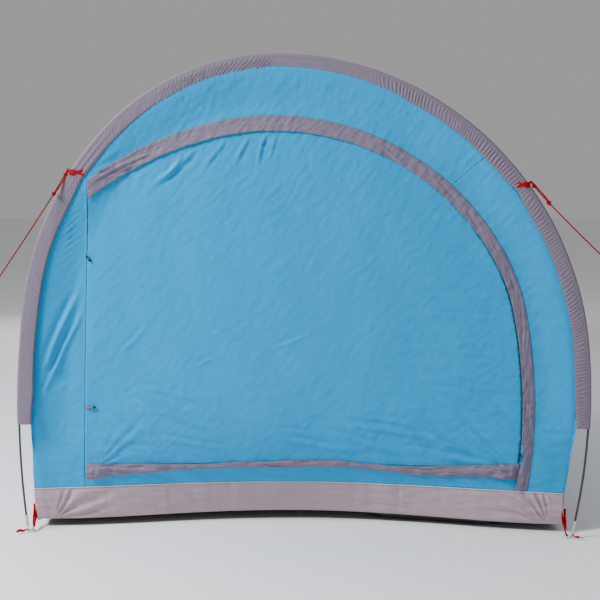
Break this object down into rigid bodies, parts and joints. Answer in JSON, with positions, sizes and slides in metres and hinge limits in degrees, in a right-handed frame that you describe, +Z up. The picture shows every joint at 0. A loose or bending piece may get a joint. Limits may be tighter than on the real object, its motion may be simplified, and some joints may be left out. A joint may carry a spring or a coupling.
{
  "type": "tunnel tent",
  "caption": "Tunnel tent on three bowed pole hoops in cloth sleeves, with a raised tub floor and a D-shaped zipped door under curved storm flaps in its front end wall.",
  "frame": {"origin": "on the ground at the middle of the box round the tent and its corner webbing, guy ropes left out", "axes": "+Z up, +X to the right seen from the front, the door end faces -Y"},
  "size_m": [2.6617, 3.4524, 1.985],
  "materials": {
    "ferrule_steel": "drawn steel tube",
    "tip_metal": "turned",
    "shock_cord": "braided elastic",
    "fibreglass": "pultruded, satin",
    "sleeve_cloth": "mauve-grey polyester taffeta",
    "flap_cloth": "mauve-grey polyester taffeta",
    "blue_cloth": "coated polyester taffeta",
    "tub_cloth": "heavier coated polyester, pale mauve-grey",
    "floor_cloth": "woven polyethylene groundsheet",
    "piping": "seam binding",
    "zip_tape": "woven zip tape with nylon coil",
    "zip_metal": "die cast, black",
    "pin_steel": "zinc-plated wire",
    "red_webbing": "woven tape",
    "guy_rope": "braided cord, red with dark flecks",
    "black_plastic": "moulded"
  },
  "bodies": {
    "root": {"arch_storm_flap": "flap_cloth", "arch_zip_wall_tape": "zip_tape", "bottom_zip_wall_tape": "zip_tape", "corner_webbing": "red_webbing", "foot_pins": "pin_steel", "foot_rings": "pin_steel", "front_bay_canopy": "blue_cloth", "front_left_guy_loop": "red_webbing", "front_left_panel": "blue_cloth", "front_pole_end_tips": "tip_metal", "front_pole_ferrules": "ferrule_steel", "front_pole_sections": "fibreglass", "front_pole_shock_cord": "shock_cord", "front_pole_sleeve": "sleeve_cloth", "front_right_guy_loop": "red_webbing", "front_right_panel": "blue_cloth", "front_sill": "blue_cloth", "front_top_panel": "blue_cloth", "front_tub_piping": "piping", "front_tub_wall": "tub_cloth", "groundsheet": "floor_cloth", "left_guy_rope": "guy_rope", "left_rope_end_loop": "guy_rope", "left_tub_wall": "tub_cloth", "lower_toggle_loop": "flap_cloth", "middle_guy_loops": "red_webbing", "middle_pole_end_tips": "tip_metal", "middle_pole_ferrules": "ferrule_steel", "middle_pole_sections": "fibreglass", "middle_pole_shock_cord": "shock_cord", "middle_pole_sleeve": "sleeve_cloth", "peg_loops": "red_webbing", "rear_bay_canopy": "blue_cloth", "rear_guy_loops": "red_webbing", "rear_pole_end_tips": "tip_metal", "rear_pole_ferrules": "ferrule_steel", "rear_pole_sections": "fibreglass", "rear_pole_shock_cord": "shock_cord", "rear_pole_sleeve": "sleeve_cloth", "rear_tub_wall": "tub_cloth", "rear_wall": "blue_cloth", "right_guy_rope": "guy_rope", "right_rope_end_loop": "guy_rope", "right_tub_wall": "tub_cloth", "upper_toggle_loop": "flap_cloth"},
    "door": {"front_door": "blue_cloth", "arch_zip_door_tape": "zip_tape", "bottom_zip_door_tape": "zip_tape", "bottom_storm_flap": "flap_cloth"},
    "upper_toggle": {"upper_toggle_bar": "black_plastic"},
    "lower_toggle": {"lower_toggle_bar": "black_plastic"},
    "arch_slider": {"arch_zip_slider": "zip_metal"},
    "arch_pull": {"arch_zip_pull": "zip_metal"},
    "bottom_slider": {"bottom_zip_slider": "zip_metal"},
    "bottom_pull": {"bottom_zip_pull": "zip_metal"},
    "left_runner": {"left_rope_runner": "black_plastic"},
    "right_runner": {"right_rope_runner": "black_plastic"}
  },
  "joints": [
    {"name": "door_swing", "type": "hinge", "parent": "root", "child": "door", "pos_m": [-0.8455, -1.547, 0.9], "axis": [0, 0, -1], "range_deg": [0, 100]},
    {"name": "upper_toggle_turn", "type": "hinge", "parent": "root", "child": "upper_toggle", "pos_m": [-0.872, -1.5555, 1.15], "axis": [0, 1, 0], "range_deg": [-60, 60]},
    {"name": "lower_toggle_turn", "type": "hinge", "parent": "root", "child": "lower_toggle", "pos_m": [-0.868, -1.5555, 0.522], "axis": [0, 1, 0], "range_deg": [-60, 60]},
    {"name": "arch_slider_travel", "type": "hinge", "parent": "root", "child": "arch_slider", "pos_m": [-1.14132, -1.547, 0.52944], "axis": [0, -1, 0], "range_deg": [0, 15]},
    {"name": "arch_pull_swing", "type": "hinge", "parent": "arch_slider", "child": "arch_pull", "pos_m": [0.92828, -1.5514, 0.332], "axis": [0, -1, 0], "range_deg": [-20, 45]},
    {"name": "bottom_slider_travel", "type": "slide", "parent": "root", "child": "bottom_slider", "axis": [-1, 0, 0], "range_m": [0, 1.7]},
    {"name": "bottom_pull_swing", "type": "hinge", "parent": "bottom_slider", "child": "bottom_pull", "pos_m": [0.87229, -1.5514, 0.253], "axis": [0, 1, 0], "range_deg": [-60, 60]},
    {"name": "left_runner_slide", "type": "slide", "parent": "root", "child": "left_runner", "axis": [0.5225, 0.2613, 0.8116], "range_m": [0, 0.2]},
    {"name": "right_runner_slide", "type": "slide", "parent": "root", "child": "right_runner", "axis": [-0.6698, 0.3362, 0.6621], "range_m": [0, 0.2]}
  ]
}
